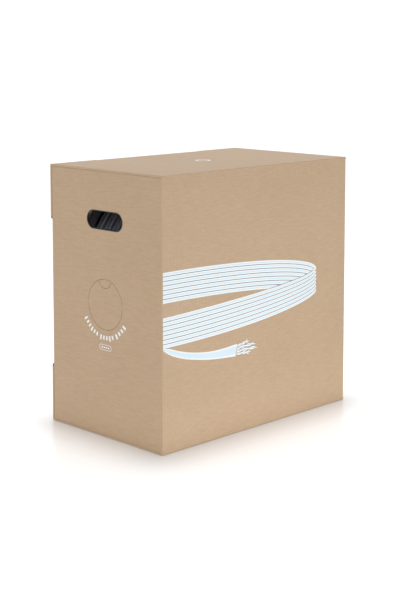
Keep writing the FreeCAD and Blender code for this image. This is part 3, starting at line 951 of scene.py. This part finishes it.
def wound_board_finish():
    finish, tree, shader = new_finish("spirally_wound_board")
    place = tree.nodes.new("ShaderNodeTexCoord").outputs["Object"]
    parts = wire(tree, "ShaderNodeSeparateXYZ", place).outputs
    angle = calc(tree, "ARCTAN2", calc(tree, "SUBTRACT", parts[2], SPOOL_CENTRE.z), parts[0])
    climb = calc(tree, "MULTIPLY_ADD", parts[1], 1 / 0.115, calc(tree, "MULTIPLY", angle, 1 / (2 * math.pi)))
    seam = calc(tree, "ABSOLUTE", calc(tree, "SUBTRACT", calc(tree, "FRACT", climb), 0.5))
    fibres = wire(tree, "ShaderNodeTexNoise", Vector=stretched(tree, (300, 120, 300)), Scale=1.0, Detail=4.0,
                  Roughness=0.7).outputs["Fac"]
    colour = mixed(tree, ranged(tree, fibres, 0.3, 0.7, 0.0, 1.0), (0.36, 0.26, 0.17, 1), (0.50, 0.38, 0.27, 1))
    colour = mixed(tree, ranged(tree, seam, 0.0, 0.012, 0.7, 0.0), colour, (0.20, 0.14, 0.09, 1))
    tree.links.new(colour, shader.inputs["Base Color"])
    shader.inputs["Roughness"].default_value = 0.85
    bump = wire(tree, "ShaderNodeBump", Height=fibres, Strength=0.4, Distance=0.0002)
    tree.links.new(bump.outputs[0], shader.inputs["Normal"])
    return finish


core_low, core_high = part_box("spool_core")
SPOOL_CENTRE = (core_low + core_high) / 2
dress_node("spool_core", wound_board_finish(), 0)
bright_zinc = steel_finish("bright_zinc", (0.62, 0.63, 0.62, 1), 1)
for node in ("tie_rods", "tie_nuts", "tie_washers"):
    dress_node(node, bright_zinc, 0.0002)

# ---- Cable on the spool ----
# Four-pair cable with a dark satin jacket, 6.2 mm thick, wound in full layers; the last layer was laid in
# pairs of turns with a gap of one turn between pairs, so the winding shows broad ribs.

CABLE = 0.0062
winding_low, winding_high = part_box("cable_winding")
WOUND_RADIUS = (winding_high.z - winding_low.z) / 2
OUTER_LAY = WOUND_RADIUS - CABLE / 2
INNER_LAY = OUTER_LAY - CABLE * math.sqrt(3) / 2


def jacket_finish():
    finish, tree, shader = new_finish("dark_cable_jacket")
    grain = wire(tree, "ShaderNodeTexNoise", Vector=stretched(tree, (700, 700, 700)), Scale=1.0, Detail=3.0,
                 Roughness=0.6).outputs["Fac"]
    dust = wire(tree, "ShaderNodeTexNoise", Vector=stretched(tree, (40, 40, 40)), Scale=1.0, Detail=4.0,
                Roughness=0.6).outputs["Fac"]
    dusting = ranged(tree, dust, 0.4, 0.75, 0.0, 0.5)
    colour = mixed(tree, dusting, (0.040, 0.047, 0.062, 1), (0.068, 0.077, 0.096, 1))
    tree.links.new(colour, shader.inputs["Base Color"])
    tree.links.new(ranged(tree, grain, 0.3, 0.7, 0.46, 0.58), shader.inputs["Roughness"])
    bump = wire(tree, "ShaderNodeBump", Height=grain, Strength=0.15, Distance=0.0001)
    tree.links.new(bump.outputs[0], shader.inputs["Normal"])
    return finish


def add_tube(mesh, centres, radius, sides):
    """A tube round the spool's axis direction: each centre is (angle, lay radius, y)."""
    rings = []
    for angle, lay, y in centres:
        outward = Vector((math.cos(angle), 0, math.sin(angle)))
        middle = Vector((SPOOL_CENTRE.x, y, SPOOL_CENTRE.z)) + outward * lay
        ring = []
        for index in range(sides):
            turn = 2 * math.pi * index / sides
            around = math.cos(turn) * outward + math.sin(turn) * Vector((0, 1, 0))
            ring.append(mesh.verts.new(middle + radius * around))
        rings.append(ring)
    for here, ahead in zip(rings, rings[1:]):
        for index in range(sides):
            corners = [here[index], here[(index + 1) % sides], ahead[(index + 1) % sides], ahead[index]]
            mesh.faces.new(corners).smooth = True
    mesh.faces.new(rings[0])
    mesh.faces.new(rings[-1])


def lay_turns(lay, first_y, starts, crossover):
    """Turns that each keep their place and step over to the next one within the crossover."""
    steps = 96
    centres = []
    for number, (here, ahead) in enumerate(zip(starts, starts[1:])):
        for step in range(steps):
            share = step / steps
            move = min(1.0, max(0.0, (share - 1 + crossover) / crossover))
            ease = move * move * (3 - 2 * move)
            wobble = 0.00025 * math.sin(2 * math.pi * share * 3 + number * 1.7)
            centres.append((2 * math.pi * share + 0.6, lay, first_y + here + (ahead - here) * ease + wobble))
    return centres


winding = bmesh.new()
full_turns = int((winding_high.y - winding_low.y) / CABLE) - 1
first_turn = winding_low.y + CABLE / 2 + 0.0008
add_tube(winding, lay_turns(INNER_LAY, first_turn, [n * CABLE for n in range(full_turns + 1)], 0.12),
         CABLE / 2, 10)
pairs = int((full_turns - 1) / 3)
outer_starts = []
for pair in range(pairs):
    outer_starts += [pair * 3 * CABLE, (pair * 3 + 1) * CABLE]
outer_starts.append(pairs * 3 * CABLE)
add_tube(winding, lay_turns(OUTER_LAY, first_turn + 3 * CABLE, outer_starts, 0.12), CABLE / 2, 12)
drum_radius = INNER_LAY - CABLE * 0.35
drum_sides = 120
drum_rings = []
for y in (winding_low.y, winding_high.y):
    for radius in (0.1201, drum_radius):
        drum_rings.append([winding.verts.new((SPOOL_CENTRE.x + radius * math.cos(2 * math.pi * n / drum_sides), y,
                                              SPOOL_CENTRE.z + radius * math.sin(2 * math.pi * n / drum_sides)))
                           for n in range(drum_sides)])
for first, second in ((0, 1), (1, 3), (3, 2), (2, 0)):
    for n in range(drum_sides):
        ahead = (n + 1) % drum_sides
        winding.faces.new([drum_rings[first][n], drum_rings[first][ahead],
                           drum_rings[second][ahead], drum_rings[second][n]])
wound_cable = finished_piece("wound_cable", winding, [jacket_finish()])
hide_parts("cable_winding")
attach(wound_cable, "spool")
